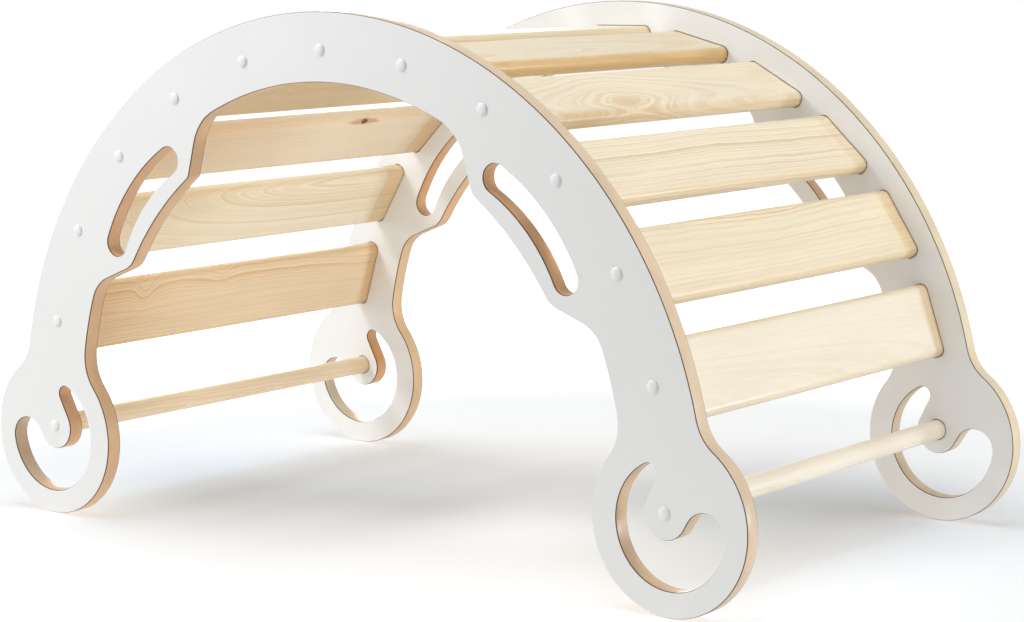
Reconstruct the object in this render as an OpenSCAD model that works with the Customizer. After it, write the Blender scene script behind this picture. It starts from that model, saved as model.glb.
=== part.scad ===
// Rocker arch for small children: two laminated side panels joined by flat slats and two round rungs.
// Millimetres. X runs along the arch, Y across it from panel to panel, Z up.
// The origin is on the floor, midway between the feet and between the panels.

/* [Overall] */
// Width over both side panels
frame_w = 528; // [420:2:620]
// Thickness of a finished side panel
panel_t = 18; // [15:1:21]
// Thickness of each laminate sheet
laminate_t = 0.9; // [0.6:0.1:1.2]
// How far the laminate's trimmed edge stands back from the plywood's edge
laminate_trim = 0.5; // [0.3:0.1:1]

/* [Arch] */
// Radius of the outer edge
arch_r = 476; // [470:1:482]
// Height of the outer edge's centre above the floor
arch_z = 94; // [90:1:98]
// Radius of the inner edge
inner_r = 379; // [375:1:383]
// Height of the inner edge's centre above the floor
inner_z = 119.5; // [116:0.5:122]

/* [Feet] */
// Radius of a foot
foot_r = 91; // [88:1:94]
// Distance of a foot's centre from the middle
foot_x = 431.5; // [428:0.5:434]
// Rounding where the outer edge meets the foot
shoulder_r = 50; // [40:1:60]
// Rounding where the inner edge meets the foot
neck_r = 52; // [44:1:60]

/* [Foot cut-out] */
// Radius of the cut-out's outer edge
curl_r = 64; // [62:0.5:66]
// How far the cut-out's centre lies out past the foot's centre
curl_shift = 2; // [1.5:0.5:2.5]
// How far the cut-out's centre lies below the foot's centre
curl_drop = 1; // [0.5:0.5:1.5]
// Radius of the cut-out's wide end
curl_wide_r = 23; // [20:0.5:23]
// Radius of the cut-out's narrow end
curl_narrow_r = 9.5; // [8:0.5:11]
// Radius of the tongue that carries the rung
tongue_r = 25; // [23:0.5:25]
// How far the tongue's centre lies below the rung's centre
tongue_drop = 1.5; // [1:0.5:2]

/* [Hand grips] */
// Radius of the grip band's inner edge
grip_r = 340.5; // [337:0.5:343]
// Height of that edge's centre above the floor
grip_z = 115.5; // [113:0.5:118]
// Radius of the grip band's lower corner
grip_low_r = 27.5; // [22:0.5:30]
// Radius of the grip band's upper corner
grip_high_r = 8; // [5:0.5:14]
// Rounding under the grip band
hollow_low_r = 40; // [34:1:44]
// Rounding above the grip band
hollow_high_r = 54; // [44:1:58]
// Width of a hand slot
slot_w = 30; // [26:1:32]
// Radius of a hand slot's centre line
slot_r = 207.5; // [200:0.5:215]

/* [Slats] */
// Width of a slat
slat_w = 82; // [74:1:84]
// Thickness of a slat
slat_t = 19; // [17:1:21]
// Rounding of a slat's long edges
slat_round = 8; // [4:0.5:8]
// Radius of the circle that the slats stand round
slat_ring_r = 445.5; // [442:0.5:447]
// Height of that circle's centre above the floor
slat_ring_z = 86; // [84:1:88]
// Angle from slat to slat
slat_step = 14.33; // [14.2:0.01:14.4]
// How much nearer the centre the two lowest slats stand
low_slat_inset = 8; // [4:1:10]
// Depth of the pockets that slats and rungs sit in
pocket_depth = 4; // [3:0.5:6]
// Gap round a slat or rung in its pocket
pocket_gap = 0.8; // [0.2:0.1:1]

/* [Rungs] */
// Diameter of a round rung
rung_d = 22; // [20:1:26]
// Height of a rung above the floor
rung_z = 101.5; // [99:0.5:103]
// Distance of a rung from the middle
rung_x = 427.5; // [425:0.5:429]

/* [Screws and caps] */
// Diameter of a screw's head
head_d = 10; // [9:0.5:10]
// Height of a screw's head
head_h = 3.5; // [3:0.5:4]
// Depth of the head's top below the panel's face
head_sink = 1.2; // [1:0.1:2]
// Diameter of a screw's shank
shank_d = 7; // [6:0.5:7]
// Diameter of a screw's thread
thread_d = 6.1; // [5.1:0.1:6.3]
// Length of a screw under its head
screw_l = 48; // [40:1:60]
// Diameter of a cap
cap_d = 12.5; // [12:0.5:14]
// Height of a cap above the panel
cap_h = 2.4; // [1.8:0.1:3]

/* [Hidden] */
// Largest distance between a drawn curve and its true circle
curve_error = 0.04;
// Points nearer than this are one point
least_step = 0.02;
$fn = 96;
foot_c = [foot_x, foot_r];
curl_c = foot_c + [curl_shift, -curl_drop];
rung_c = [rung_x, rung_z];
// Angles from the vertical, about the centre of the edge that each rounding touches
grip_low_angle = 57.5;
grip_high_angle = 36;
hollow_low_angle = 69.5;
hollow_high_angle = 24.6;
curl_wide_angle = 99;
curl_narrow_angle = -27;
slot_c = [124, 230];
slot_angles = [30, 65.5];
low_slat_angle = 71.9;
head_room = 0.2;
shank_room = 0.15;
pilot_room = 0.05;
pilot_extra = 2;
socket_d = 4.6;
socket_depth = 2.4;
plug_d = 3.8;
plug_room = 0.4;
cap_rim = 0.6;
dome_steps = 10;
tip_l = 4;
tip_d = 1;
cut = 1;
// Depths below a panel's outer face
core_end = panel_t - laminate_t;
pocket_floor = panel_t - pocket_depth;
head_floor = head_sink + head_h;
screw_end = head_floor + screw_l;
plywood = [0.84, 0.67, 0.47];
white = [0.93, 0.93, 0.92];
pine = [0.94, 0.84, 0.65];
beech = [0.91, 0.78, 0.59];
steel = [0.72, 0.72, 0.74];

// ---- Outlines: a belt drawn round wheels, each [x, z, radius, side] ----
// side is 1 where the belt runs anticlockwise round the wheel and -1 where it runs clockwise.

function at_angle(c, r, a) = [c[0] + r * sin(a), c[1] + r * cos(a)];

function wheel(c, r, side) = [c[0], c[1], r, side];

// The upper crossing of a circle of radius ra about a with one of radius rb about b
function crossing(a, ra, b, rb) =
    let (d = b - a, l = norm(d), m = (ra * ra - rb * rb + l * l) / (2 * l))
    a + m * d / l + sqrt(ra * ra - m * m) * [-d[1], d[0]] / l;

// Direction of the straight run from wheel a to wheel b
function run_angle(a, b) =
    let (d = [b[0] - a[0], b[1] - a[1]], h = b[3] * b[2] - a[3] * a[2])
    atan2(d[1], d[0]) - asin(max(-1, min(1, h / norm(d))));

// Points round wheel w, from the run that arrives at angle u0 to the one that leaves at angle u1.
// The turn lies between -1 and 359 degrees, so one that rounding takes just below 0 stays near 0.
function wheel_points(w, u0, u1) =
    let (
        slack = 1,
        turn = ((u1 - u0) * w[3] + 720 + slack) % 360 - slack,
        step = 2 * acos(1 - curve_error / w[2]),
        n = max(1, ceil(turn / step))
    )
    [for (i = [0 : n])
        let (u = u0 + w[3] * turn * i / n)
        [w[0] + w[3] * w[2] * sin(u), w[1] - w[3] * w[2] * cos(u)]];

// Drops a point that lies on the one before it
function distinct(p) = [for (i = [0 : len(p) - 1]) if (i == 0 || norm(p[i] - p[i - 1]) > least_step) p[i]];

// A belt from travel direction first to travel direction last
function open_belt(w, first, last) =
    let (n = len(w), run = [for (i = [0 : n - 2]) run_angle(w[i], w[i + 1])])
    distinct([for (i = [0 : n - 1])
        each wheel_points(w[i], i == 0 ? first : run[i - 1], i == n - 1 ? last : run[i])]);

// A belt that closes on itself
function closed_belt(w) =
    let (n = len(w), run = [for (i = [0 : n - 1]) run_angle(w[i], w[(i + 1) % n])])
    distinct([for (i = [0 : n - 1]) each wheel_points(w[i], run[(i + n - 1) % n], run[i])]);

// The same wheels for an outline drawn back by trim from the wood's edge
function trimmed(w, trim) = [for (v = w) [v[0], v[1], v[2] + v[3] * trim, v[3]]];

// ---- Panel outline, right half, from the top of the outer edge to the top of the inner edge ----
arch_c = [0, arch_z];
inner_c = [0, inner_z];
grip_c = [0, grip_z];
half_panel = [
    wheel(arch_c, arch_r, -1),
    wheel(crossing(arch_c, arch_r + shoulder_r, foot_c, foot_r + shoulder_r), shoulder_r, 1),
    wheel(foot_c, foot_r, -1),
    wheel(crossing(inner_c, inner_r - neck_r, foot_c, foot_r + neck_r), neck_r, 1),
    wheel(inner_c, inner_r, 1),
    wheel(at_angle(inner_c, inner_r - hollow_low_r, hollow_low_angle), hollow_low_r, 1),
    wheel(at_angle(grip_c, grip_r + grip_low_r, grip_low_angle), grip_low_r, -1),
    wheel(grip_c, grip_r, 1),
    wheel(at_angle(grip_c, grip_r + grip_high_r, grip_high_angle), grip_high_r, -1),
    wheel(at_angle(inner_c, inner_r - hollow_high_r, hollow_high_angle), hollow_high_r, 1),
    wheel(inner_c, inner_r, 1)
];

foot_curl = [
    wheel(curl_c, curl_r, 1),
    wheel(at_angle(curl_c, curl_r - curl_wide_r, curl_wide_angle), curl_wide_r, 1),
    wheel(rung_c - [0, tongue_drop], tongue_r, -1),
    wheel(at_angle(curl_c, curl_r - curl_narrow_r, curl_narrow_angle), curl_narrow_r, 1)
];

hand_slot = [
    wheel(slot_c, slot_r + slot_w / 2, 1),
    wheel(at_angle(slot_c, slot_r, slot_angles[0]), slot_w / 2, 1),
    wheel(slot_c, slot_r - slot_w / 2, -1),
    wheel(at_angle(slot_c, slot_r, slot_angles[1]), slot_w / 2, 1)
];

module both_sides() {
    children();
    mirror([1, 0, 0]) children();
}

module panel_outline(trim = 0) {
    right = open_belt(trimmed(half_panel, trim), 0, 180);
    n = len(right);
    left = [for (i = [n - 2 : -1 : 1]) [-right[i][0], right[i][1]]];
    difference() {
        polygon(concat(right, left));
        both_sides() {
            polygon(closed_belt(trimmed(foot_curl, trim)));
            polygon(closed_belt(trimmed(hand_slot, trim)));
        }
    }
}

// ---- Places ----
slats = 11;
middle_slat = (slats + 1) / 2;
ring_c = [0, slat_ring_z];

function is_low(i) = i == 1 || i == slats;

function slat_angle(i) =
    let (k = i - middle_slat)
    is_low(i) ? sign(k) * low_slat_angle : k * slat_step;

function slat_place(i) = at_angle(ring_c, slat_ring_r - (is_low(i) ? low_slat_inset : 0), slat_angle(i));

// A stretch along Y, between two depths below the front panel's outer face, of an outline in X and Z
module span(depth0, depth1) {
    translate([0, depth1 - frame_w / 2, 0])
        rotate([90, 0, 0])
            linear_extrude(depth1 - depth0)
                children();
}

// A round bar along Y between two depths
module bar(d, depth0, depth1) {
    span(depth0, depth1) circle(d = d);
}

// The far panel is the near one's mirror image
module back() {
    mirror([0, 1, 0]) children();
}

// Puts an outline or a solid on each slat's centre
module on_slat(i) {
    p = slat_place(i);
    translate([p[0], 0, p[1]])
        rotate([0, slat_angle(i), 0])
            children();
}

module on_slats() {
    for (i = [1 : slats]) on_slat(i) children();
}

module on_rungs() {
    for (side = [-1, 1])
        translate([side * rung_x, 0, rung_z])
            children();
}

module on_screws() {
    on_slats() children();
    on_rungs() children();
}

// ---- Side panels ----
module slat_section(grow = 0) {
    x = slat_w / 2 - slat_round;
    z = slat_t / 2 - slat_round;
    r = slat_round + grow;
    corners = [[x, z], [-x, z], [-x, -z], [x, -z]];
    polygon(closed_belt([for (corner = corners) wheel(corner, r, 1)]));
}

// The pockets that the slats' and rungs' ends sit in
module pockets() {
    on_slats() span(pocket_floor, panel_t + cut) slat_section(pocket_gap);
    on_rungs() bar(rung_d + 2 * pocket_gap, pocket_floor, panel_t + cut);
}

module head_holes() {
    on_screws() bar(head_d + 2 * head_room, -cut, head_floor);
}

module shank_holes() {
    on_screws() bar(shank_d + 2 * shank_room, -cut, panel_t);
}

module panel_core() {
    color(plywood) difference() {
        span(laminate_t, core_end) panel_outline();
        head_holes();
        shank_holes();
        pockets();
    }
}

module outer_laminate() {
    color(white) difference() {
        span(0, laminate_t) panel_outline(laminate_trim);
        head_holes();
    }
}

module inner_laminate() {
    color(white) difference() {
        span(core_end, panel_t) panel_outline(laminate_trim);
        pockets();
    }
}

// ---- Slats and rungs ----
// The holes that a screw's thread bites into, one in each end
module pilot_holes() {
    bar(thread_d + 2 * pilot_room, pocket_floor - cut, screw_end + pilot_extra);
    back() bar(thread_d + 2 * pilot_room, pocket_floor - cut, screw_end + pilot_extra);
}

module slat(i) {
    color(pine) on_slat(i) difference() {
        span(pocket_floor, frame_w - pocket_floor) slat_section();
        pilot_holes();
    }
}

module rung(side) {
    color(beech) translate([side * rung_x, 0, rung_z]) difference() {
        bar(rung_d, pocket_floor, frame_w - pocket_floor);
        pilot_holes();
    }
}

// ---- Screws and caps ----
module screw() {
    difference() {
        bar(head_d, head_sink, head_floor);
        span(head_sink - cut, head_sink + socket_depth) circle(d = socket_d, $fn = 6);
    }
    bar(shank_d, head_floor, pocket_floor);
    bar(thread_d, pocket_floor, screw_end - tip_l);
    translate([0, screw_end - tip_l - frame_w / 2, 0])
        rotate([-90, 0, 0])
            cylinder(d1 = thread_d, d2 = tip_d, h = tip_l);
}

// A thin round rim with a dome on it, and a plug that goes into the screw's socket
module cap() {
    dome_h = cap_h - cap_rim;
    dome_r = (cap_d * cap_d / 4 + dome_h * dome_h) / (2 * dome_h);
    dome_angle = asin(cap_d / 2 / dome_r);
    dome = [for (i = [0 : dome_steps])
        at_angle([0, cap_h - dome_r], dome_r, dome_angle * i / dome_steps)];
    translate([0, -frame_w / 2, 0])
        rotate([90, 0, 0])
            rotate_extrude()
                polygon(concat([[0, 0]], dome, [[cap_d / 2, 0]]));
    bar(plug_d, -cap_rim, head_sink + socket_depth - plug_room);
}

module slat_screws() {
    color(steel) on_slats() screw();
}

module rung_screws() {
    color(steel) on_rungs() screw();
}

module screw_caps() {
    color(white) on_screws() cap();
}

panel_core();  // front_panel_core
outer_laminate();  // front_panel_outer_laminate
inner_laminate();  // front_panel_inner_laminate
back() panel_core();  // back_panel_core
back() outer_laminate();  // back_panel_outer_laminate
back() inner_laminate();  // back_panel_inner_laminate
slat(1);  // slat_01
slat(2);  // slat_02
slat(3);  // slat_03
slat(4);  // slat_04
slat(5);  // slat_05
slat(6);  // slat_06
slat(7);  // slat_07
slat(8);  // slat_08
slat(9);  // slat_09
slat(10);  // slat_10
slat(11);  // slat_11
rung(-1);  // rung_left
rung(1);  // rung_right
slat_screws();  // front_slat_screws
back() slat_screws();  // back_slat_screws
rung_screws();  // front_rung_screws
back() rung_screws();  // back_rung_screws
screw_caps();  // front_screw_caps
back() screw_caps();  // back_screw_caps
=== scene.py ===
# The looks of a rocker arch: laminated side panels, pine slats, round rungs and domed screw caps.
# Metres. X runs along the arch, Y across it from the front panel to the back one, Z up.
import math

import bmesh
import bpy
from mathutils import Matrix, Vector


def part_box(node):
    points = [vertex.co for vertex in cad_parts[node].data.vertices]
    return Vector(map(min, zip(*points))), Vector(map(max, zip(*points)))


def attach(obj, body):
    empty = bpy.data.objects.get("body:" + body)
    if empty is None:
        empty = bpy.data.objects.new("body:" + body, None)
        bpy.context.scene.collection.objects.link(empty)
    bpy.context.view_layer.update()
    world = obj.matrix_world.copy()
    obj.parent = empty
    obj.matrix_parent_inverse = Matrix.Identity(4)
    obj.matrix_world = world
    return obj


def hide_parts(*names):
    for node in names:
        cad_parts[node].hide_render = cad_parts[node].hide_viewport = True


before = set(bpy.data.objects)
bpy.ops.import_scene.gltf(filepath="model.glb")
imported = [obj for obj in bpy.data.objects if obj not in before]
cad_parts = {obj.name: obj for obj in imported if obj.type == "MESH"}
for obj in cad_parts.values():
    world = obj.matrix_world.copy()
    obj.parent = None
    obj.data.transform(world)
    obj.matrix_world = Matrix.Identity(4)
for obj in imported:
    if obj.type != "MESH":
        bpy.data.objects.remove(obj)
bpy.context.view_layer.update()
mm = 0.001
print("frame loaded:", len(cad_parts), "solids")

# Camera at the photograph's viewing angle. The arch stands left of the lens axis, hence the shift.
cameraView = {
    "azimuth": 35.4,
    "elevation": 7.94,
    "roll": -0.555,
    "aim": (0.2834, 0.0, 0.2525),
    "distance": 2.7155,
    "lens": 90.88,
    "sensor": 36.0,
    "shift": -0.1836,
}


def placeCamera(values):
    azimuth, elevation, roll = (math.radians(values[k]) for k in ("azimuth", "elevation", "roll"))
    level = math.cos(elevation)
    ahead = Vector((-math.sin(azimuth) * level, math.cos(azimuth) * level, -math.sin(elevation)))
    right = Vector((math.cos(azimuth), math.sin(azimuth), 0))
    up = right.cross(ahead)
    turned = math.cos(roll) * right + math.sin(roll) * up
    rolled = Matrix((turned, turned.cross(ahead), -ahead)).transposed()
    data = bpy.data.cameras.new("camera")
    data.sensor_width = values["sensor"]
    data.lens = values["lens"]
    data.shift_x = values["shift"]
    camera = bpy.data.objects.new("camera", data)
    place = Vector(values["aim"]) - values["distance"] * ahead
    camera.matrix_world = Matrix.Translation(place) @ rolled.to_4x4()
    bpy.context.scene.collection.objects.link(camera)
    bpy.context.scene.camera = camera


placeCamera(cameraView)
print("camera placed")


# Short forms for the nodes of a material
def addNode(tree, kind, **settings):
    made = tree.nodes.new("ShaderNode" + kind)
    for name, value in settings.items():
        setattr(made, name, value)
    return made


def feed(tree, socket, value):
    if isinstance(value, bpy.types.NodeSocket):
        tree.links.new(value, socket)
    else:
        socket.default_value = value


def calc(tree, operation, *values, clamp=False):
    made = addNode(tree, "Math", operation=operation, use_clamp=clamp)
    for socket, value in zip(made.inputs, values):
        feed(tree, socket, value)
    return made.outputs[0]


def vectorCalc(tree, operation, *values):
    made = addNode(tree, "VectorMath", operation=operation)
    sockets = [made.inputs[0], made.inputs["Scale"]] if operation == "SCALE" else made.inputs
    for socket, value in zip(sockets, values):
        feed(tree, socket, value)
    return made.outputs["Value" if operation in ("LENGTH", "DOT_PRODUCT") else "Vector"]


def axesOf(tree, vector):
    made = addNode(tree, "SeparateXYZ")
    feed(tree, made.inputs[0], vector)
    return made.outputs


def smoothBetween(tree, value, low, high):
    made = addNode(tree, "MapRange", interpolation_type="SMOOTHSTEP")
    for name, source in (("Value", value), ("From Min", low), ("From Max", high)):
        feed(tree, made.inputs[name], source)
    return made.outputs["Result"]


def spread(tree, value, low, high):
    made = addNode(tree, "MapRange")
    for name, source in (("Value", value), ("To Min", low), ("To Max", high)):
        feed(tree, made.inputs[name], source)
    return made.outputs["Result"]


def mixColor(tree, share, first, second, blend="MIX"):
    made = addNode(tree, "Mix", data_type="RGBA", blend_type=blend)
    for socket, value in zip((made.inputs[0], made.inputs[6], made.inputs[7]), (share, first, second)):
        feed(tree, socket, value)
    return made.outputs[2]


# The values are the noise's scale, detail and roughness. A scale of three numbers is one for each axis.
def noise(tree, place, values, output="Fac"):
    scale, detail, roughness = values
    made = addNode(tree, "TexNoise")
    if isinstance(scale, tuple):
        place = vectorCalc(tree, "MULTIPLY", place, scale)
        scale = 1.0
    for name, value in (("Vector", place), ("Scale", scale), ("Detail", detail), ("Roughness", roughness)):
        feed(tree, made.inputs[name], value)
    return made.outputs[output]


def makeGroup(name, inputs, outputs):
    group = bpy.data.node_groups.new(name, "ShaderNodeTree")
    for label, kind, value in inputs:
        socket = group.interface.new_socket(label, in_out="INPUT", socket_type="NodeSocket" + kind)
        socket.default_value = value
    for label, kind in outputs:
        group.interface.new_socket(label, in_out="OUTPUT", socket_type="NodeSocket" + kind)
    return group, group.nodes.new("NodeGroupInput").outputs, group.nodes.new("NodeGroupOutput").inputs


def placeGroup(tree, group, **values):
    made = addNode(tree, "Group")
    made.node_tree = group
    for label, value in values.items():
        feed(tree, made.inputs[label], value)
    return made.outputs


def newMaterial(name):
    made = bpy.data.materials.new(name)
    made.use_nodes = True
    tree = made.node_tree
    return made, tree, tree.nodes["Principled BSDF"]


def objectPlace(tree):
    return addNode(tree, "TexCoord").outputs["Object"]


def toMm(tree, place):
    return vectorCalc(tree, "SCALE", place, 1 / mm)


def facingOf(tree):
    return axesOf(tree, addNode(tree, "NewGeometry").outputs["Normal"])


def color(red, green, blue):
    return (red, green, blue, 1.0)


# A soft spot is 1 at its middle and fades out over its size. Middle and size in mm.
def makeSoftSpot():
    group, given, result = makeGroup("softSpot", [
        ("Place", "Vector", (0, 0, 0)),
        ("Middle", "Vector", (0, 0, 0)),
        ("Size", "Vector", (10, 10, 10)),
    ], [("Strength", "Float")])
    inMm = toMm(group, given["Place"])
    ratio = vectorCalc(group, "DIVIDE", vectorCalc(group, "SUBTRACT", inMm, given["Middle"]), given["Size"])
    fading = calc(group, "MULTIPLY", vectorCalc(group, "DOT_PRODUCT", ratio, ratio), -1.0)
    feed(group, result["Strength"], calc(group, "EXPONENT", fading))
    return group


# Annual rings of a sawn board, in mm on its own axes: across it, along it and out of its face.
# They lie round a pith below the board. Lean and bow tilt the pith along the board, and shift
# moves the rings sideways, which together draw the pointed, oval and dipping figures on its face.
ringLook = {
    "apart": (37.0, 91.0, 53.0),  # how far two seeds lie apart
    "sways": {"Wobble": ((0.014, 0.0045, 0.014), 2.0, 0.5), "Ripple": ((0.075, 0.026, 0.075), 2.0, 0.5)},
    "unevenPace": 0.43,
    "uneven": 1.9,  # how much the rings' widths change
    "rise": {"from": (0.3, -0.1), "to": 0.9, "power": (1.9, 1.0)},  # pairs are for crisp and soft rings
    "fall": (0.93, 0.8),
    "strength": (0.35, 1.0),
    "patches": ((0.02, 0.007, 0.02), 2.0, 0.5),
    "patchStrength": (0.45, 1.45),
}


def makeGrowthRings():
    group, given, result = makeGroup("growthRings", [
        ("Place", "Vector", (0, 0, 0)),
        ("Pith", "Vector", (0, 0, 40)),
        ("Lean", "Float", 0.0),
        ("Bow", "Float", 0.0),
        ("Ring", "Float", 4.0),
        ("Wobble", "Float", 3.0),
        ("Ripple", "Float", 1.0),
        ("Shift", "Float", 0.0),
        ("Soft", "Float", 0.0),
        ("Seed", "Float", 0.0),
    ], [("Late", "Float")])
    inMm = toMm(group, given["Place"])
    apart = vectorCalc(group, "SCALE", ringLook["apart"], given["Seed"])
    moved = vectorCalc(group, "ADD", inMm, apart)
    swayed = inMm
    for amount, values in ringLook["sways"].items():
        sway = vectorCalc(group, "SUBTRACT", noise(group, moved, values, "Color"), (0.5, 0.5, 0.5))
        swayed = vectorCalc(group, "ADD", swayed, vectorCalc(group, "SCALE", sway, given[amount]))
    pith = vectorCalc(group, "MULTIPLY", given["Pith"], (1, 1, -1))
    across, along, depth = axesOf(group, vectorCalc(group, "SUBTRACT", swayed, pith))
    depth = calc(group, "MULTIPLY_ADD", along, given["Lean"], depth)
    depth = calc(group, "MULTIPLY_ADD", calc(group, "MULTIPLY", along, along), given["Bow"], depth)
    reach = calc(group, "MULTIPLY_ADD", across, across, calc(group, "MULTIPLY", depth, depth))
    reach = calc(group, "SQRT", reach)
    count = calc(group, "DIVIDE", calc(group, "ADD", reach, given["Shift"]), given["Ring"])
    count = calc(group, "ADD", count, given["Seed"])
    uneven = addNode(group, "TexNoise", noise_dimensions="1D")
    feed(group, uneven.inputs["W"], calc(group, "MULTIPLY", count, ringLook["unevenPace"]))
    count = calc(group, "MULTIPLY_ADD", uneven.outputs["Fac"], ringLook["uneven"], count)
    within = calc(group, "FRACT", count)
    soft = given["Soft"]
    rise = ringLook["rise"]
    rise = calc(group, "POWER", smoothBetween(group, within, spread(group, soft, *rise["from"]), rise["to"]),
                spread(group, soft, *rise["power"]))
    fall = smoothBetween(group, within, 1.0, spread(group, soft, *ringLook["fall"]))
    strength = addNode(group, "TexWhiteNoise", noise_dimensions="1D")
    feed(group, strength.inputs["W"], calc(group, "FLOOR", count))
    late = calc(group, "MULTIPLY", rise, fall)
    late = calc(group, "MULTIPLY", late, spread(group, strength.outputs["Value"], *ringLook["strength"]))
    patchy = spread(group, noise(group, moved, ringLook["patches"]), *ringLook["patchStrength"])
    feed(group, result["Late"], calc(group, "MULTIPLY", late, patchy))
    return group


# Fine fibre along Y, short dark resin canals and slow changes of tone. Scales per mm.
fibreLook = {
    "apart": (71.0, 29.0, 83.0),
    "streaks": ((0.55, 0.02, 0.55), 4.0, 0.65),
    "canals": ((1.7, 0.10, 1.7), 1.0, 0.5),
    "canalEdge": (0.68, 0.76),
    "tones": ((0.03, 0.006, 0.03), 2.0, 0.5),
}


def makeFibre():
    group, given, result = makeGroup("fibre", [
        ("Place", "Vector", (0, 0, 0)),
        ("Seed", "Float", 0.0),
    ], [("Streak", "Float"), ("Canal", "Float"), ("Tone", "Float")])
    apart = vectorCalc(group, "SCALE", fibreLook["apart"], given["Seed"])
    place = vectorCalc(group, "ADD", toMm(group, given["Place"]), apart)
    feed(group, result["Streak"], noise(group, place, fibreLook["streaks"]))
    specks = noise(group, place, fibreLook["canals"])
    feed(group, result["Canal"], smoothBetween(group, specks, *fibreLook["canalEdge"]))
    feed(group, result["Tone"], noise(group, place, fibreLook["tones"]))
    return group


# Faint marks of handling that dull or polish a finish
handlingLook = {"broad": (14.0, 3.0, 0.6), "small": (95.0, 2.0, 0.6), "smallShare": 0.5}


def makeHandling():
    group, given, result = makeGroup("handling", [
        ("Place", "Vector", (0, 0, 0)),
        ("Amount", "Float", 0.1),
        ("Level", "Float", 0.4),
    ], [("Roughness", "Float")])
    share = handlingLook["smallShare"]
    broad = noise(group, given["Place"], handlingLook["broad"])
    small = noise(group, given["Place"], handlingLook["small"])
    both = calc(group, "SUBTRACT", calc(group, "MULTIPLY_ADD", small, share, broad), (1 + share) / 2)
    feed(group, result["Roughness"], calc(group, "MULTIPLY_ADD", both, given["Amount"], given["Level"]))
    return group


softSpot = makeSoftSpot()
growthRings = makeGrowthRings()
fibre = makeFibre()
handling = makeHandling()
print("shared effects built")

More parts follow.
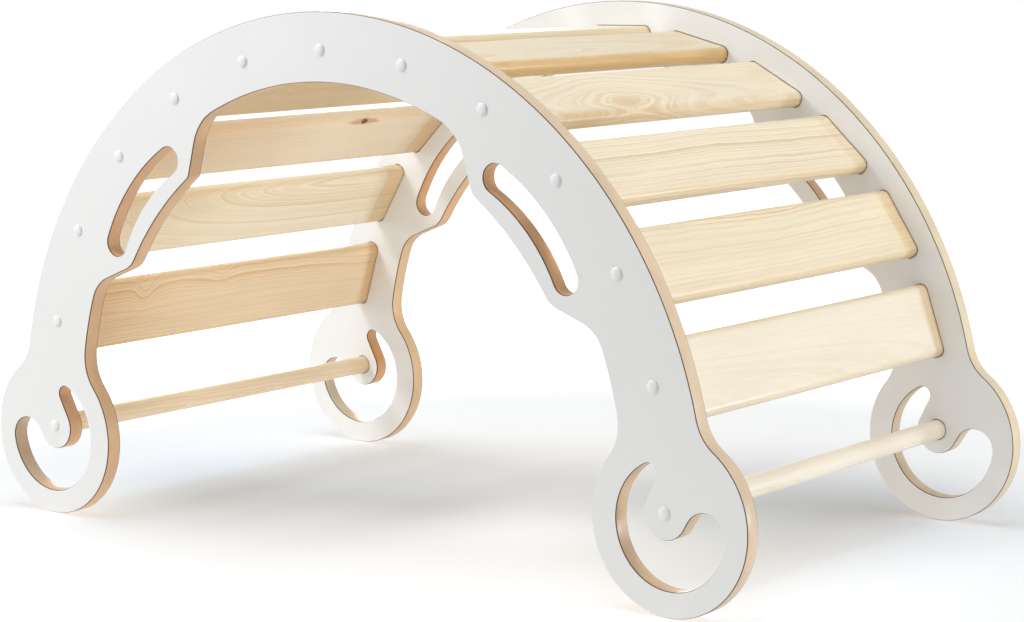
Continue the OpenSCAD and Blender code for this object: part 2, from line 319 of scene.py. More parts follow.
# One entry for each slat, from the left end of the arch to the right. Places and sizes in mm on the
# board's own axes: across it, along it and out of its face. Dips move the rings sideways, bolder
# strengthens them, and tan deepens the wood round a place. Side and end are the shares of painted
# shade, a deeper and more orange tone, on a board's narrow edges and at its ends beside the panels,
# which starts at the distances in ends.
everywhere = 1000
plainBoard = {"dips": [], "bolder": [], "tan": [], "knot": None, "soft": 0.0, "ends": (221.5, 223.5),
              "shadedUnderside": False}
boards = {
    "slat_01": {
        "early": (0.80, 0.635, 0.42), "late": (0.68, 0.40, 0.18), "contrast": 0.55,
        "pith": (-150, 0, 40), "lean": 0.0, "bow": 0.0, "ring": 4.6, "wobble": 5, "ripple": 3.0, "seed": 3.1,
        "dips": [((24, -147, 0), (18, 13, everywhere), 13), ((32, -27, 0), (14, 18, everywhere), 6),
                 ((34, -95, 0), (22, 34, everywhere), -4), ((26, 235, 0), (40, 95, everywhere), 9)],
        "bolder": [((0, -235, 0), (75, 110, everywhere), 1.0), ((27, 20, 0), (12, 260, everywhere), 1.2)],
        "tan": [((0, -280, 0), (90, 120, everywhere), 0.45)],
        "side": 0.2, "end": 0.85, "ends": (232.0, 234.0), "shadedUnderside": True,
    },
    "slat_02": {
        "early": (0.845, 0.76, 0.575), "late": (0.68, 0.48, 0.265), "contrast": 0.58,
        "pith": (38, 0, 31), "lean": -0.14, "bow": 0.00035, "ring": 5.2, "wobble": 3, "ripple": 1.6,
        "seed": 8.4,
        "bolder": [((14, 90, 0), (26, 110, everywhere), 0.6)],
        "tan": [((40, -160, 0), (40, 120, everywhere), 0.35)],
        "soft": 1.0, "side": 0.2, "end": 0.85, "ends": (214.0, 219.0), "shadedUnderside": True,
    },
    "slat_03": {
        "early": (0.755, 0.625, 0.445), "late": (0.59, 0.39, 0.21), "contrast": 0.25,
        "pith": (-95, 0, 45), "lean": 0.02, "bow": 0.0, "ring": 5.5, "wobble": 6, "ripple": 2, "seed": 5.7,
        "dips": [((37, 91, 0), (9, 26, everywhere), -7)],
        "bolder": [((20, -140, 0), (40, 90, everywhere), 0.4)],
        "tan": [((30, -200, 0), (60, 150, everywhere), 0.4)],
        "knot": (35.0, 94.0, -9.5),
        "side": 0.2, "end": 0.85, "ends": (214.0, 219.0), "shadedUnderside": True,
    },
    "slat_04": {
        "early": (0.72, 0.545, 0.31), "late": (0.57, 0.351, 0.155), "contrast": 0.9,
        "pith": (60, 40, 50), "lean": 0.03, "bow": 0.0, "ring": 5.0, "wobble": 5, "ripple": 2, "seed": 1.9,
        "dips": [((12, -130, 0), (16, 9, everywhere), 7), ((22, -108, 0), (14, 7, everywhere), -6),
                 ((33, -90, 0), (10, 8, everywhere), 5)],
        "side": 0.2, "end": 0.35, "shadedUnderside": True,
    },
    "slat_05": {
        "early": (0.757, 0.611, 0.398), "late": (0.601, 0.407, 0.213), "contrast": 0.6,
        "pith": (-20, -60, 45), "lean": 0.05, "bow": 0.0, "ring": 4.5, "wobble": 4, "ripple": 1, "seed": 6.6,
        "side": 0.6, "end": 0.35, "shadedUnderside": True,
    },
    "slat_06": {
        "early": (0.784, 0.73, 0.57), "late": (0.649, 0.474, 0.258), "contrast": 0.6,
        "pith": (70, 0, 40), "lean": 0.02, "bow": 0.0, "ring": 4.0, "wobble": 4, "ripple": 1, "seed": 2.2,
        "side": 0.4, "end": 0.35,
    },
    "slat_07": {
        "early": (0.665, 0.57, 0.405), "late": (0.585, 0.396, 0.194), "contrast": 0.6,
        "pith": (12, 120, 30), "lean": 0.05, "bow": 0.0, "ring": 4.6, "wobble": 6, "ripple": 2, "seed": 9.3,
        "soft": 0.8, "side": 1.0, "end": 0.1,
    },
    "slat_08": {
        "early": (0.75, 0.67, 0.505), "late": (0.64, 0.472, 0.27), "contrast": 0.85,
        "pith": (20, 0, 20), "lean": 0.0, "bow": 0.0, "ring": 6.2, "wobble": 10, "ripple": 4.0, "seed": 4.45,
        "dips": [((20, -60, 0), (everywhere, 105, everywhere), -22),
                 ((-45, 250, 0), (60, 110, everywhere), 14)],
        "bolder": [((20, -60, 0), (34, 70, everywhere), 0.35), ((10, 190, 0), (60, 60, everywhere), -0.5)],
        "tan": [((24, -62, 0), (7, 22, everywhere), 0.5), ((42, -150, 0), (12, 60, everywhere), 0.5)],
        "soft": 0.7, "side": 0.3, "end": 0.1,
    },
    "slat_09": {
        "early": (0.782, 0.695, 0.527), "late": (0.56, 0.42, 0.22), "contrast": 0.8,
        "pith": (120, 0, 30), "lean": 0.03, "bow": 0.0, "ring": 3.8, "wobble": 5, "ripple": 3.2, "seed": 7.2,
        "dips": [((-8, 0, 0), (50, 90, everywhere), -4)],
        "bolder": [((15, 130, 0), (9, 130, everywhere), 1.0), ((-7, 0, 0), (9, 260, everywhere), 1.2)],
        "side": 0.3, "end": 0.3,
    },
    "slat_10": {
        "early": (0.765, 0.68, 0.505), "late": (0.60, 0.40, 0.19), "contrast": 0.45,
        "pith": (150, 0, 60), "lean": 0.0, "bow": 0.0, "ring": 5.0, "wobble": 5, "ripple": 3.0, "seed": 0.6,
        "dips": [((-32, 0, 0), (40, 110, everywhere), 6)],
        "bolder": [((-32, 0, 0), (8, 220, everywhere), 1.5), ((-8, 30, 0), (9, 200, everywhere), 0.3)],
        "side": 0.3, "end": 0.65,
    },
    "slat_11": {
        "early": (0.77, 0.70, 0.57), "late": (0.698, 0.563, 0.374), "contrast": 0.3,
        "pith": (35, 60, 40), "lean": 0.06, "bow": 0.0, "ring": 6.0, "wobble": 5, "ripple": 1.5, "seed": 5.1,
        "side": 0.3, "end": 0.8, "ends": (231.0, 233.0),
    },
}
knotLook = {
    "core": color(0.11, 0.045, 0.0),
    "ring": color(0.42, 0.22, 0.08),
    "coreSize": (3.8, 6.0, 9.0),
    "ringSize": (4.6, 30.0, 12.0),
    "ragged": ((260.0, 90.0, 260.0), 3.0, 0.6),
    "raggedness": 0.8,
    "ringEdge": (0.25, 0.75),
    "ringShare": (0.45, 1.0),
    "coreEdge": (0.35, 0.6),
}
# Painted shade for the slats: deeper tones on their narrow edges and at their ends
slatShadeMargins = {"endTone": color(0.95, 0.80, 0.62), "sides": (33.5, 38.5), "sideShadeTone": color(0.96, 0.78, 0.52)}
# The left boards' listed tones are painted shade, those of their shaded undersides. Their upper sides have
# these.
plainPine = {"early": color(0.73, 0.635, 0.455), "late": color(0.60, 0.43, 0.235), "from": 1.0, "to": 7.5}
pineShade = {"tone": (0.93, 1.07), "streak": (0.9, 1.1), "canal": 0.25, "relief": 0.6}
lacquer = {"roughness": 0.42, "marks": 0.12, "coat": 0.15, "coatRoughness": 0.25, "bump": 0.25, "depth": 0.12}
slatCircle = {"lowTurn": 71.9}  # degrees, the turn of the lowest slat on each side


def boxCentre(node):
    low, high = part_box(node)
    return (low + high) / 2


# A slat's turn about Y, from the circle that the slats stand round
def slatTurn(node):
    middle = boxCentre(node)
    if node in ("slat_01", "slat_11"):
        return math.copysign(math.radians(slatCircle["lowTurn"]), middle.x)
    top, second = boxCentre("slat_06"), boxCentre("slat_02")
    rise = top.z - second.z
    radius = (second.x ** 2 + rise ** 2) / (2 * rise)
    return math.asin(middle.x / radius)


def markedGloss(tree, shader, place, look):
    marks = placeGroup(tree, handling, Place=place, Amount=look["marks"], Level=look["roughness"])
    feed(tree, shader.inputs["Roughness"], marks["Roughness"])


def fineRelief(tree, shader, height, look):
    bump = addNode(tree, "Bump")
    bump.inputs["Strength"].default_value = look["bump"]
    bump.inputs["Distance"].default_value = look["depth"] * mm
    feed(tree, bump.inputs["Height"], height)
    feed(tree, shader.inputs["Normal"], bump.outputs[0])


# A face's colour with slow, faint changes
def cloudy(tree, place, look):
    clouds = spread(tree, noise(tree, place, look["clouds"]), *look["cloudTone"])
    return mixColor(tree, 1.0, look["face"], clouds, "MULTIPLY")


def finishWood(tree, shader, place, base, height):
    feed(tree, shader.inputs["Base Color"], base)
    markedGloss(tree, shader, place, lacquer)
    shader.inputs["Coat Weight"].default_value = lacquer["coat"]
    shader.inputs["Coat Roughness"].default_value = lacquer["coatRoughness"]
    fineRelief(tree, shader, height, lacquer)


# Slow changes of tone, fibre and resin canals over the wood's own colour
def shadeWood(tree, wood, grain, late, look):
    shade = calc(tree, "MULTIPLY", spread(tree, grain["Tone"], *look["tone"]),
                 spread(tree, grain["Streak"], *look["streak"]))
    wood = mixColor(tree, 1.0, wood, shade, "MULTIPLY")
    return mixColor(tree, calc(tree, "MULTIPLY", grain["Canal"], look["canal"]), wood, late)


def spots(tree, place, entries, start):
    total = start
    for middle, size, amount in entries:
        spot = placeGroup(tree, softSpot, Place=place, Middle=middle, Size=size)
        total = calc(tree, "MULTIPLY_ADD", spot["Strength"], float(amount), total)
    return total


def knotOn(tree, place, wood, middle, streak):
    parts = [placeGroup(tree, softSpot, Place=place, Middle=middle, Size=knotLook[k])["Strength"]
             for k in ("ringSize", "coreSize")]
    rough = noise(tree, place, knotLook["ragged"])
    raggedness = knotLook["raggedness"]
    edges = [calc(tree, "MULTIPLY_ADD", rough, raggedness, calc(tree, "SUBTRACT", part, raggedness / 2))
             for part in parts]
    around = calc(tree, "MULTIPLY", smoothBetween(tree, edges[0], *knotLook["ringEdge"]),
                  spread(tree, streak, *knotLook["ringShare"]))
    wood = mixColor(tree, around, wood, knotLook["ring"])
    return mixColor(tree, smoothBetween(tree, edges[1], *knotLook["coreEdge"]), wood, knotLook["core"])


# Places on a slat's own axes: across it, along it and out of its face
def placeOnSlat(tree, node):
    made = addNode(tree, "Mapping", vector_type="TEXTURE")
    centre = boxCentre(node)
    feed(tree, made.inputs["Vector"], objectPlace(tree))
    made.inputs["Location"].default_value = (centre.x, 0, centre.z)
    made.inputs["Rotation"].default_value = (0, slatTurn(node), 0)
    return made.outputs[0]


def pineMaterial(node, given):
    board = {**plainBoard, **given}
    made, tree, shader = newMaterial("pine_" + node)
    early, late = color(*board["early"]), color(*board["late"])
    place = placeOnSlat(tree, node)
    rings = placeGroup(tree, growthRings, Place=place, Pith=board["pith"], Lean=board["lean"],
                       Bow=board["bow"], Ring=board["ring"], Wobble=board["wobble"], Ripple=board["ripple"],
                       Shift=spots(tree, place, board["dips"], 0.0), Soft=board["soft"], Seed=board["seed"])
    grain = placeGroup(tree, fibre, Place=place, Seed=board["seed"])
    contrast = spots(tree, place, board["bolder"], board["contrast"])
    figure = calc(tree, "MULTIPLY", rings["Late"], contrast, clamp=True)
    inMm = toMm(tree, place)
    # Boards whose listed tones are painted shade of their undersides get plain pine on top
    if board["shadedUnderside"]:
        upper = smoothBetween(tree, axesOf(tree, inMm)["Z"], plainPine["from"], plainPine["to"])
        early = mixColor(tree, upper, early, plainPine["early"])
        late = mixColor(tree, upper, late, plainPine["late"])
    wood = mixColor(tree, figure, early, late)
    deep = mixColor(tree, 1.0, early, late, "MULTIPLY")
    wood = mixColor(tree, spots(tree, place, board["tan"], 0.0), wood, deep)
    # Painted shade on the board's narrow edges and at its ends
    fromCentre = axesOf(tree, vectorCalc(tree, "ABSOLUTE", inMm))
    sideShadeMask = smoothBetween(tree, fromCentre["X"], *slatShadeMargins["sides"])
    endShadeMask = smoothBetween(tree, fromCentre["Y"], *board["ends"])
    for edge, share, tone in ((sideShadeMask, "side", "sideShadeTone"), (endShadeMask, "end", "endTone")):
        wood = mixColor(tree, calc(tree, "MULTIPLY", edge, board[share]), wood, slatShadeMargins[tone], "MULTIPLY")
    wood = shadeWood(tree, wood, grain, late, pineShade)
    if board["knot"]:
        wood = knotOn(tree, place, wood, board["knot"], grain["Streak"])
    relief = calc(tree, "MULTIPLY_ADD", grain["Streak"], pineShade["relief"], rings["Late"])
    finishWood(tree, shader, place, wood, relief)
    return made


# The left rung's warmer, deeper tones are painted shade and the right rung's paler, cooler ones painted light
rungWood = {
    "rung_left": {"early": (0.86, 0.70, 0.49), "late": (0.69, 0.47, 0.27), "seed": 4.3},
    "rung_right": {"early": (0.78, 0.725, 0.62), "late": (0.70, 0.59, 0.43), "seed": 2.8},
}
rungRings = {"pith": (60, 0, 35), "lean": 0.03, "ring": 3.6, "wobble": 4.0, "ripple": 2.0, "contrast": 0.9}
rungShade = {"tone": (0.86, 1.14), "streak": (0.93, 1.07), "canal": 0.4}


def rungMaterial(node):
    made, tree, shader = newMaterial("dowel_" + node)
    tones = rungWood[node]
    early, late = color(*tones["early"]), color(*tones["late"])
    centre = boxCentre(node)
    place = vectorCalc(tree, "SUBTRACT", objectPlace(tree), (centre.x, 0, centre.z))
    rings = placeGroup(tree, growthRings, Place=place, Pith=rungRings["pith"], Lean=rungRings["lean"],
                       Ring=rungRings["ring"], Wobble=rungRings["wobble"], Ripple=rungRings["ripple"],
                       Seed=tones["seed"])
    grain = placeGroup(tree, fibre, Place=place, Seed=tones["seed"])
    wood = mixColor(tree, calc(tree, "MULTIPLY", rings["Late"], rungRings["contrast"]), early, late)
    finishWood(tree, shader, place, shadeWood(tree, wood, grain, late, rungShade), grain["Streak"])
    return made


# Plies run parallel to the panel's faces. Where an edge cuts a ply across its grain it is darker.
plywood = {
    "plies": 13,
    "along": color(0.73, 0.55, 0.355),
    "across": color(0.61, 0.41, 0.24),
    "acrossShare": 0.6,
    "ripples": ((40.0, 900.0, 40.0), 2.0, 0.5),
    "ripple": 0.25,
    "patches": ((22.0, 22.0, 22.0), 2.0, 0.5),
    "patchTone": (0.82, 1.18),
    "shadeOnTop": -0.35,
    "fibres": ((420.0, 2600.0, 420.0), 2.0, 0.6),
    "fibreTone": (0.9, 1.1),
    "glue": color(0.10, 0.05, 0.03),
    "glueWidth": (0.0004, 0.00016),
    # Painted light and shade: outer edges, which catch the light, get a paler, cooler tone, and inner,
    # shaded edges a warmer one. The outer edges are those that lie this far from the arch's centre, and
    # those round the listed spots.
    "arc": (0, 0, 0.0940),
    "outside": (0.462, 0.468),
    "litEdgeSpots": [((431, 0, 91), (140, everywhere, 120), 1.0)],
    "outer": {"front": color(0.92, 0.97, 1.05), "back": color(0.96, 1.10, 1.20)},
    "inner": {"front": color(1.14, 1.02, 0.94), "back": color(1.04, 0.97, 0.88)},
    "shadeAmber": color(0.98, 0.76, 0.50),
    "shadeAmberSpots": [((-304, 248, 352), (45, everywhere, 60), 1.0), ((-406, 248, 114), (30, everywhere, 50), 1.0)],
}


def plywoodMaterial(side):
    made, tree, shader = newMaterial(side + "PlywoodEdge")
    place = objectPlace(tree)
    depth = calc(tree, "ABSOLUTE", axesOf(tree, place)["Y"])
    low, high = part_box("back_panel_core")
    fromInside = calc(tree, "SUBTRACT", depth, low.y)
    fromFace = calc(tree, "MINIMUM", fromInside, calc(tree, "SUBTRACT", high.y, depth))
    share = calc(tree, "DIVIDE", fromInside, high.y - low.y)
    ripple = calc(tree, "MULTIPLY", noise(tree, place, plywood["ripples"]), plywood["ripple"])
    ply = calc(tree, "MULTIPLY_ADD", share, float(plywood["plies"]), ripple)
    odd = calc(tree, "PINGPONG", calc(tree, "FLOOR", ply), 1.0)
    facing = facingOf(tree)
    upward, sideways = (calc(tree, "POWER", calc(tree, "ABSOLUTE", facing[axis]), 2.0) for axis in "ZX")
    choose = addNode(tree, "Mix", data_type="FLOAT")
    for socket, value in zip(choose.inputs[:1] + choose.inputs[2:4], (odd, upward, sideways)):
        feed(tree, socket, value)
    endGrain = calc(tree, "MULTIPLY", choose.outputs[0], plywood["acrossShare"])
    wood = mixColor(tree, endGrain, plywood["along"], plywood["across"])
    patches = noise(tree, place, plywood["patches"])
    # Painted shade: edge faces that look up are made darker
    patches = calc(tree, "MULTIPLY_ADD", upward, plywood["shadeOnTop"], patches)
    wood = mixColor(tree, 1.0, wood, spread(tree, patches, *plywood["patchTone"]), "MULTIPLY")
    # Painted light on the outer edges and painted shade on the inner ones
    flat = vectorCalc(tree, "MULTIPLY", vectorCalc(tree, "SUBTRACT", place, plywood["arc"]), (1, 0, 1))
    outside = smoothBetween(tree, vectorCalc(tree, "LENGTH", flat), *plywood["outside"])
    outside = calc(tree, "MAXIMUM", outside, spots(tree, place, plywood["litEdgeSpots"], 0.0))
    litOrShadedTone = mixColor(tree, outside, plywood["inner"][side], plywood["outer"][side])
    wood = mixColor(tree, 1.0, wood, litOrShadedTone, "MULTIPLY")
    # Painted shade: a deeper amber at two places on the back panel's edges beside the left slats
    if side == "back":
        wood = mixColor(tree, spots(tree, place, plywood["shadeAmberSpots"], 0.0), wood, plywood["shadeAmber"], "MULTIPLY")
    fibres = noise(tree, place, plywood["fibres"])
    wood = mixColor(tree, 1.0, wood, spread(tree, fibres, *plywood["fibreTone"]), "MULTIPLY")
    wood = mixColor(tree, smoothBetween(tree, fromFace, *plywood["glueWidth"]), wood, plywood["glue"])
    finishWood(tree, shader, place, wood, fibres)
    return made


# White laminate: satin faces with a faint grain of their own, and a dark core that shows at cut edges
laminate = {
    "face": color(0.83, 0.83, 0.82),
    "core": color(0.13, 0.055, 0.022),
    "cut": (0.55, 0.3),
    "clouds": (3.0, 2.0, 0.5),
    "cloudTone": (0.985, 1.015),
    "roughness": 0.4,
    "marks": 0.1,
    "pores": (900.0, 2.0, 0.5),
    "bump": 0.12,
    "depth": 0.05,
}


def laminateMaterial():
    made, tree, shader = newMaterial("whiteLaminate")
    place = objectPlace(tree)
    cutEdge = smoothBetween(tree, calc(tree, "ABSOLUTE", facingOf(tree)["Y"]), *laminate["cut"])
    face = cloudy(tree, place, laminate)
    feed(tree, shader.inputs["Base Color"], mixColor(tree, cutEdge, face, laminate["core"]))
    markedGloss(tree, shader, place, laminate)
    fineRelief(tree, shader, noise(tree, place, laminate["pores"]), laminate)
    return made


capPlastic = {"face": color(0.86, 0.86, 0.85), "clouds": (60.0, 2.0, 0.5), "cloudTone": (0.97, 1.03),
              "roughness": 0.4, "marks": 0.08}


def capMaterial():
    made, tree, shader = newMaterial("capPlastic")
    place = objectPlace(tree)
    feed(tree, shader.inputs["Base Color"], cloudy(tree, place, capPlastic))
    markedGloss(tree, shader, place, capPlastic)
    return made


steel = {"face": color(0.70, 0.71, 0.73), "crystals": 700.0, "crystalTone": (0.9, 1.05), "roughness": 0.35,
         "marks": 0.2}


def steelMaterial():
    made, tree, shader = newMaterial("zincedSteel")
    place = objectPlace(tree)
    shader.inputs["Metallic"].default_value = 1.0
    crystals = addNode(tree, "TexVoronoi")
    feed(tree, crystals.inputs["Vector"], place)
    crystals.inputs["Scale"].default_value = steel["crystals"]
    bright = spread(tree, crystals.outputs["Distance"], *steel["crystalTone"])
    feed(tree, shader.inputs["Base Color"], mixColor(tree, 1.0, steel["face"], bright, "MULTIPLY"))
    markedGloss(tree, shader, place, steel)
    return made


plywoodEdge = {side: plywoodMaterial(side) for side in ("front", "back")}
whiteLaminate = laminateMaterial()
capWhite = capMaterial()
zincedSteel = steelMaterial()
print("materials built")


def addPiece(name, shape, material, nodes):
    data = bpy.data.meshes.new(name)
    shape.to_mesh(data)
    shape.free()
    data.materials.append(material)
    piece = bpy.data.objects.new(name, data)
    bpy.context.scene.collection.objects.link(piece)
    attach(piece, "root")
    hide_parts(*nodes)
    return piece


arris = {"weld": 0.00001, "level": math.radians(0.3), "sharp": math.radians(35), "wide": 0.001, "segments": 2,
         "sideways": 0.98}


# Faces over the wide area stay flat, and with flatEnds also those that look along Y. Everything else
# is smooth, up to the sharp edges.
def shadeShape(shape, wideArea=math.inf, flatEnds=True):
    for face in shape.faces:
        endShadeMask = flatEnds and abs(face.normal.y) > arris["sideways"]
        face.smooth = not endShadeMask and face.calc_area() < wideArea
    for edge in shape.edges:
        edge.smooth = edge.calc_face_angle(0.0) < arris["sharp"]


# The solid of a node with its sharp edges eased by a small round
def easedShape(node, width):
    shape = bmesh.new()
    shape.from_mesh(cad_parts[node].data)
    bmesh.ops.remove_doubles(shape, verts=shape.verts, dist=arris["weld"])
    bmesh.ops.dissolve_limit(shape, angle_limit=arris["level"], verts=shape.verts, edges=shape.edges)
    sharp = [e for e in shape.edges if e.calc_face_angle(0.0) > arris["sharp"]]
    bmesh.ops.bevel(shape, geom=sharp, offset=width, offset_type="OFFSET", segments=arris["segments"],
                    profile=0.5, affect="EDGES", clamp_overlap=True, material=-1)
    shadeShape(shape, arris["wide"])
    return shape


panelRounds = {"core": 0.0004, "laminate": 0.0002}
for side in ("front", "back"):
    core = side + "_panel_core"
    shape = easedShape(core, panelRounds["core"])
    addPiece(side + "PlywoodCore", shape, plywoodEdge[side], [core])
    for sheet in ("outer", "inner"):
        node = side + "_panel_" + sheet + "_laminate"
        shape = easedShape(node, panelRounds["laminate"])
        addPiece(side + sheet.capitalize() + "Laminate", shape, whiteLaminate, [node])
print("side panels made")

slatRound = 0.0005
for node, board in boards.items():
    name = "pineSlat" + node[-2:]
    addPiece(name, easedShape(node, slatRound), pineMaterial(node, board), [node])
print("slats made")


# Turns a profile of radii and places along Y about the axis through a point
def turnProfile(shape, profile, centre, sides):
    corners = [shape.verts.new((centre.x + out, y, centre.z)) for out, y in profile]
    lines = [shape.edges.new(pair) for pair in zip(corners, corners[1:])]
    bmesh.ops.spin(shape, geom=corners + lines, cent=centre, axis=(0, 1, 0), angle=2 * math.pi,
                   steps=sides, use_merge=True)


def closeShape(shape):
    bmesh.ops.remove_doubles(shape, verts=shape.verts, dist=arris["weld"])
    bmesh.ops.recalc_face_normals(shape, faces=shape.faces)


rungForm = {"sides": 72, "chamfer": 0.001}


# A round bar between the bottoms of its two pockets, with chamfered ends
def turnedRung(node):
    low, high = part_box(node)
    radius = (high.z - low.z) / 2
    chamfer = rungForm["chamfer"]
    profile = [(0, low.y), (radius - chamfer, low.y), (radius, low.y + chamfer),
               (radius, high.y - chamfer), (radius - chamfer, high.y), (0, high.y)]
    shape = bmesh.new()
    turnProfile(shape, profile, boxCentre(node), rungForm["sides"])
    closeShape(shape)
    shadeShape(shape)
    return shape


for node in ("rung_left", "rung_right"):
    name = "rung" + node.split("_")[1].capitalize()
    addPiece(name, turnedRung(node), rungMaterial(node), [node])
print("rungs made")

# A cap is a low dome with a thin rim and a plug behind it. Sizes in metres from the panel's face.
capForm = {"rim": 0.0006, "steps": 9, "sides": 40, "plugRadius": 0.0019, "plugLength": 0.0032}


def screwCaps(side):
    node = side + "_screw_caps"
    low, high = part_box(node)
    outward = -1 if side == "front" else 1
    laminateLow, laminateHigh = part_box(side + "_panel_outer_laminate")
    faceY = laminateLow.y if side == "front" else laminateHigh.y
    height = abs((low.y if side == "front" else high.y) - faceY)
    places = [boxCentre(name) for name in (*boards, "rung_left", "rung_right")]
    radius = high.z - max(middle.z for middle in places)
    profile = [(0, -capForm["plugLength"]), (capForm["plugRadius"], -capForm["plugLength"]),
               (capForm["plugRadius"], 0), (radius, 0), (radius, capForm["rim"])]
    for i in range(1, capForm["steps"] + 1):
        angle = math.pi / 2 * i / capForm["steps"]
        up = capForm["rim"] + (height - capForm["rim"]) * math.sin(angle)
        profile.append((radius * math.cos(angle), up))
    profile = [(out, faceY + outward * up) for out, up in profile]
    shape = bmesh.new()
    for middle in places:
        turnProfile(shape, profile, Vector((middle.x, faceY, middle.z)), capForm["sides"])
    closeShape(shape)
    shadeShape(shape, flatEnds=False)
    addPiece(side + "ScrewCaps", shape, capWhite, [node])


for side in ("front", "back"):
    screwCaps(side)
    for group in ("slat", "rung"):
        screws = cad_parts[side + "_" + group + "_screws"]
        screws.material_slots[0].material = zincedSteel
print("caps and screws made")


# Floor, sky and lamps. The lamps that draw the soft shadow on the floor light the floor alone, and
# the arch's own lamps leave the floor out, so that each can be set by itself.
floorLook = {
    "size": 14.0,
    # What the floor gives the arch
    "albedo": color(0.85, 0.85, 0.85),
    "bounce": 0.275,
    "bounceColor": color(1.0, 0.965, 0.92),
    # What the camera sees: paler with the distance from the arch, with painted shadow and a cooler painted
    # shade tint under it
    "seenAlbedo": color(0.775, 0.785, 0.797),
    "underArch": color(0.765, 0.85, 0.96),
    "under": [((-330, 20, 0), (300, 220, everywhere), 0.95), ((250, 170, 0), (330, 260, everywhere), 0.6)],
    "lift": 0.346,
    "clear": (0.7, 1.25),
    "paintedShadows": [((-364, -12, 0), (292, 204, everywhere), -0.281),
               ((312, 226, 0), (271, 220, everywhere), -0.304),
               ((90, -34, 0), (100, 100, everywhere), 0.14),
               ((-103, -5, 0), (85, 85, everywhere), -0.07),
               ((-370, 50, 0), (130, 100, everywhere), 0.10),
               ((374, 150, 0), (75, 75, everywhere), 0.06)],
}
skyLook = {"level": 0.195, "color": color(1.0, 0.975, 0.93)}
everyLamp = {"tint": (1, 1, 1), "aim": (0, 0, 0.3), "onFloor": False, "onArch": True, "shadowOf": None,
             "only": None}
lamps = {
    "overhead": {"tint": (0.94, 1.0, 1.06), "place": (0.0, -0.35, 2.6), "aim": (0, 0, 0.2), "size": 1.8,
                 "power": 22, "onFloor": True},
    "lowBehindRight": {"tint": (0.9, 1.0, 1.12), "place": (2.6, 1.5, 0.12), "size": 0.45, "power": 25.6},
    "highRight": {"tint": (1.06, 1.0, 0.92), "place": (2.2, 0.2, 1.6), "size": 1.0, "power": 28},
    "frontLeft": {"tint": (0.98, 1.0, 1.03), "place": (-1.62, -1.62, 2.18), "size": 1.2, "power": 48},
    "lowFrontLeft": {"place": (-2.1, -2.1, 0.67), "size": 0.9, "power": 10.7},
    "backLeft": {"tint": (1.06, 1.0, 0.93), "place": (-2.1, 2.1, 0.67), "size": 0.9, "power": 22},
    "insideLeft": {"place": (0.05, -0.12, 0.40), "aim": (-0.4, 0.1, 0.38), "size": 0.3, "power": 0.57,
                   "only": ("pineSlat01", "pineSlat02", "pineSlat03", "rungLeft",
                            "backPlywoodCore", "backInnerLaminate")},
    "floorLeft": {"place": (-0.8, 0.0, 1.9), "aim": (-0.25, 0.1, 0), "size": 0.9, "power": 10.8,
                  "onFloor": True, "onArch": False, "shadowOf": ("01", "02", "03", "04")},
    "floorRight": {"place": (0.8, -0.7, 1.9), "aim": (0.25, 0.1, 0), "size": 0.9, "power": 9.1,
                   "onFloor": True, "onArch": False, "shadowOf": ("08", "09", "10", "11")},
}


def makeFloor():
    shape = bmesh.new()
    bmesh.ops.create_grid(shape, x_segments=1, y_segments=1, size=floorLook["size"] / 2)
    data = bpy.data.meshes.new("floor")
    shape.to_mesh(data)
    shape.free()
    made, tree = newMaterial("paleFloor")[:2]
    tree.nodes.clear()
    seen = addNode(tree, "LightPath").outputs["Is Camera Ray"]
    place = objectPlace(tree)
    clear = smoothBetween(tree, vectorCalc(tree, "LENGTH", place), *floorLook["clear"])
    # Painted shadow: the camera's lift is lowered in soft spots under the arch and raised in a few
    lift = spots(tree, place, floorLook["paintedShadows"], spread(tree, clear, floorLook["lift"], 1.0))
    # Painted shade colour: the floor under the arch is cooler to the camera, so that its shade stays grey
    under = calc(tree, "MINIMUM", spots(tree, place, floorLook["under"], 0.0), 1.0)
    seenAlbedo = mixColor(tree, under, floorLook["seenAlbedo"], floorLook["underArch"])
    kinds = ((floorLook["albedo"], floorLook["bounce"], floorLook["bounceColor"]),
             (seenAlbedo, calc(tree, "MAXIMUM", lift, 0.0), color(1, 1, 1)))
    sides = []
    for albedo, strength, tint in kinds:
        surface = addNode(tree, "BsdfDiffuse")
        feed(tree, surface.inputs["Color"], albedo)
        glow = addNode(tree, "Emission")
        feed(tree, glow.inputs["Strength"], strength)
        glow.inputs["Color"].default_value = tint
        both = addNode(tree, "AddShader")
        feed(tree, both.inputs[0], surface.outputs[0])
        feed(tree, both.inputs[1], glow.outputs[0])
        sides.append(both.outputs[0])
    pick = addNode(tree, "MixShader")
    for socket, value in zip(pick.inputs, (seen, *sides)):
        feed(tree, socket, value)
    feed(tree, addNode(tree, "OutputMaterial").inputs["Surface"], pick.outputs[0])
    data.materials.append(made)
    floor = bpy.data.objects.new("floor", data)
    bpy.context.scene.collection.objects.link(floor)
    return floor


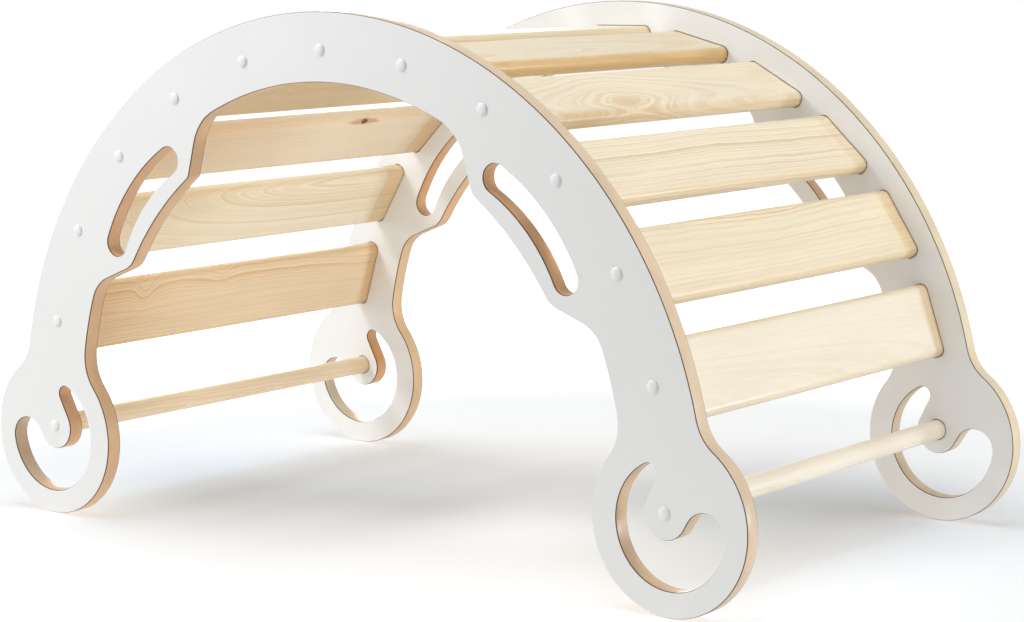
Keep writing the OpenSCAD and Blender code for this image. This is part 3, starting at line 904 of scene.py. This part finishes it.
def makeSky():
    world = bpy.data.worlds.new("sky")
    bpy.context.scene.world = world
    world.use_nodes = True
    tree = world.node_tree
    path = addNode(tree, "LightPath").outputs
    direct = calc(tree, "MAXIMUM", path["Is Camera Ray"], path["Is Glossy Ray"])
    direct = calc(tree, "MAXIMUM", direct, path["Is Transmission Ray"])
    background = tree.nodes["Background"]
    feed(tree, background.inputs["Color"], mixColor(tree, direct, skyLook["color"], color(1, 1, 1)))
    feed(tree, background.inputs["Strength"], spread(tree, direct, skyLook["level"], 1.0))


# A collection that names objects for a lamp, or everything but them
def lampGroup(name, objects, leaveOut=False):
    group = bpy.data.collections.new(name)
    for i, thing in enumerate(objects):
        group.objects.link(thing)
        if leaveOut:
            group.collection_objects[i].light_linking.link_state = "EXCLUDE"
    return group


def makeLamp(name, given, floorOnly, allButFloor):
    values = {**everyLamp, **given}
    data = bpy.data.lights.new(name, "AREA")
    data.shape = "SQUARE"
    data.size = values["size"]
    data.energy = values["power"]
    data.color = values["tint"]
    lamp = bpy.data.objects.new(name, data)
    lamp.location = values["place"]
    toward = Vector(values["aim"]) - Vector(values["place"])
    lamp.rotation_euler = toward.to_track_quat("-Z", "Y").to_euler()
    bpy.context.scene.collection.objects.link(lamp)
    if not values["onFloor"]:
        lamp.light_linking.receiver_collection = allButFloor
    if not values["onArch"]:
        lamp.light_linking.receiver_collection = floorOnly
    if values["only"]:
        chosen = lampGroup(name + "Only", [bpy.data.objects[piece] for piece in values["only"]])
        lamp.light_linking.receiver_collection = chosen
        lamp.visible_camera = lamp.visible_glossy = False
    if values["shadowOf"]:
        slats = [bpy.data.objects["pineSlat" + number] for number in values["shadowOf"]]
        lamp.light_linking.blocker_collection = lampGroup(name + "Blockers", slats)


floor = makeFloor()
floorOnly = lampGroup("floorOnly", [floor])
allButFloor = lampGroup("allButFloor", [floor], leaveOut=True)
makeSky()
for name, values in lamps.items():
    makeLamp(name, values, floorOnly, allButFloor)
bpy.context.scene.view_settings.view_transform = "Standard"
print("floor, sky and lamps placed")
